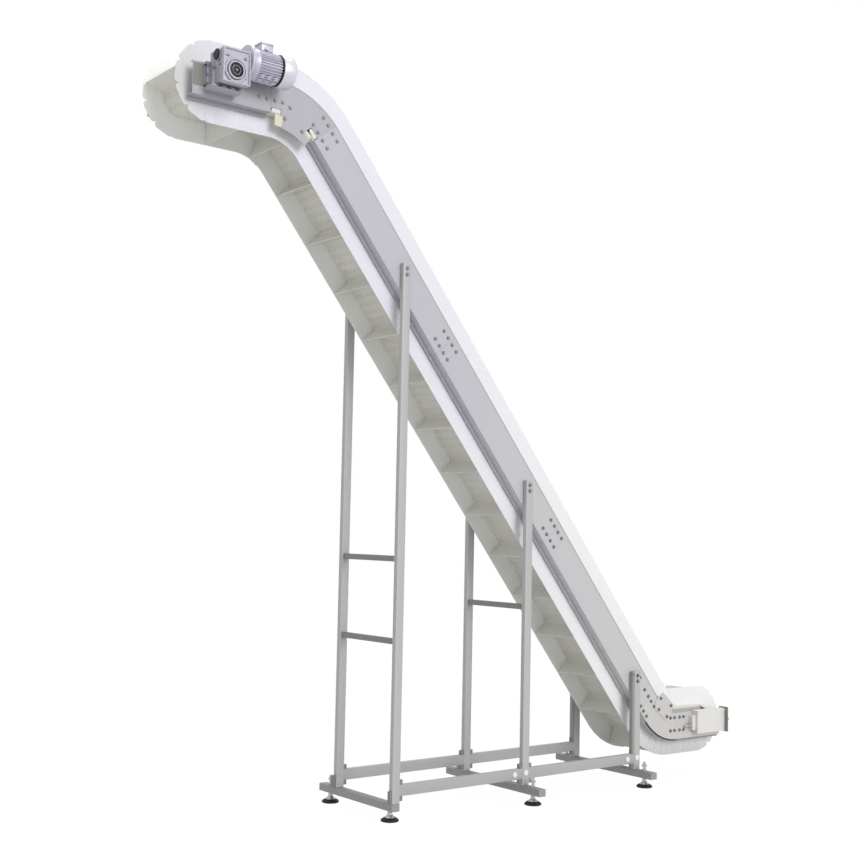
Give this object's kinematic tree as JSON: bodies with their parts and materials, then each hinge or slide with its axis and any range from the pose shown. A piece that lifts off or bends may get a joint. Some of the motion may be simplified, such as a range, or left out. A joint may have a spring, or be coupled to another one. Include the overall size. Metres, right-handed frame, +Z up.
{
  "type": "chain plate elevator",
  "caption": "Inclined plate belt elevator with flights and side guards, geared head drive, bent sheet side plates and a bolted support stand on levelling feet.",
  "frame": {"origin": "centre of the whole elevator's box, on the floor under the feet", "axes": "+X runs from the discharge head to the infeed, +Y from the drive side to the far side, +Z up"},
  "size_m": [3.995, 0.8245, 3.8554],
  "materials": {
    "guard_plastic": "white belt plastic",
    "belt_plastic": "white moulded belt plates",
    "flight_plastic": "white moulded flights",
    "strip_plastic": "cream sliding plastic",
    "sprocket_plastic": "white machined plastic",
    "gearbox_metal": "cast aluminium, silver paint",
    "motor_metal": "ribbed cast aluminium, silver paint",
    "fan_cover_metal": "pressed sheet cover, silver paint",
    "foot_rubber": "black moulded pad",
    "stand_steel": "satin steel tube",
    "shaft_steel": "turned steel",
    "bearing_metal": "cast bearing unit",
    "inner_steel": "satin sheet",
    "plate_steel": "bead blasted sheet"
  },
  "bodies": {
    "root": {"cross_beams": "stand_steel", "base_rails": "stand_steel", "head_posts": "stand_steel", "mid_posts": "stand_steel", "infeed_posts": "stand_steel", "frame_rungs": "stand_steel", "levelling_feet": "foot_rubber", "near_head_plate": "plate_steel", "far_head_plate": "plate_steel", "near_upper_bend_plate": "plate_steel", "far_upper_bend_plate": "plate_steel", "near_incline_plates": "plate_steel", "far_incline_plates": "plate_steel", "near_lower_bend_plate": "plate_steel", "far_lower_bend_plate": "plate_steel", "near_infeed_plate": "plate_steel", "far_infeed_plate": "plate_steel", "bend_cover_plates": "plate_steel", "splice_plates": "inner_steel", "cross_ties": "inner_steel", "wear_strips": "strip_plastic", "hold_down_shoes": "strip_plastic", "gearbox": "gearbox_metal", "gearbox_bracket": "gearbox_metal", "motor": "motor_metal", "fan_cover": "fan_cover_metal", "terminal_box": "motor_metal", "head_shaft": "shaft_steel", "head_sprockets": "sprocket_plastic", "head_bearing": "bearing_metal", "tail_shaft": "shaft_steel", "tail_sprockets": "sprocket_plastic", "take_up_units": "plate_steel", "belt_head_turn": "belt_plastic", "belt_incline_runs": "belt_plastic", "belt_infeed_turn": "belt_plastic", "flights": "flight_plastic", "near_head_guards": "guard_plastic", "far_head_guards": "guard_plastic", "near_incline_guards": "guard_plastic", "far_incline_guards": "guard_plastic", "near_infeed_guards": "guard_plastic", "far_infeed_guards": "guard_plastic"}
  },
  "joints": []
}
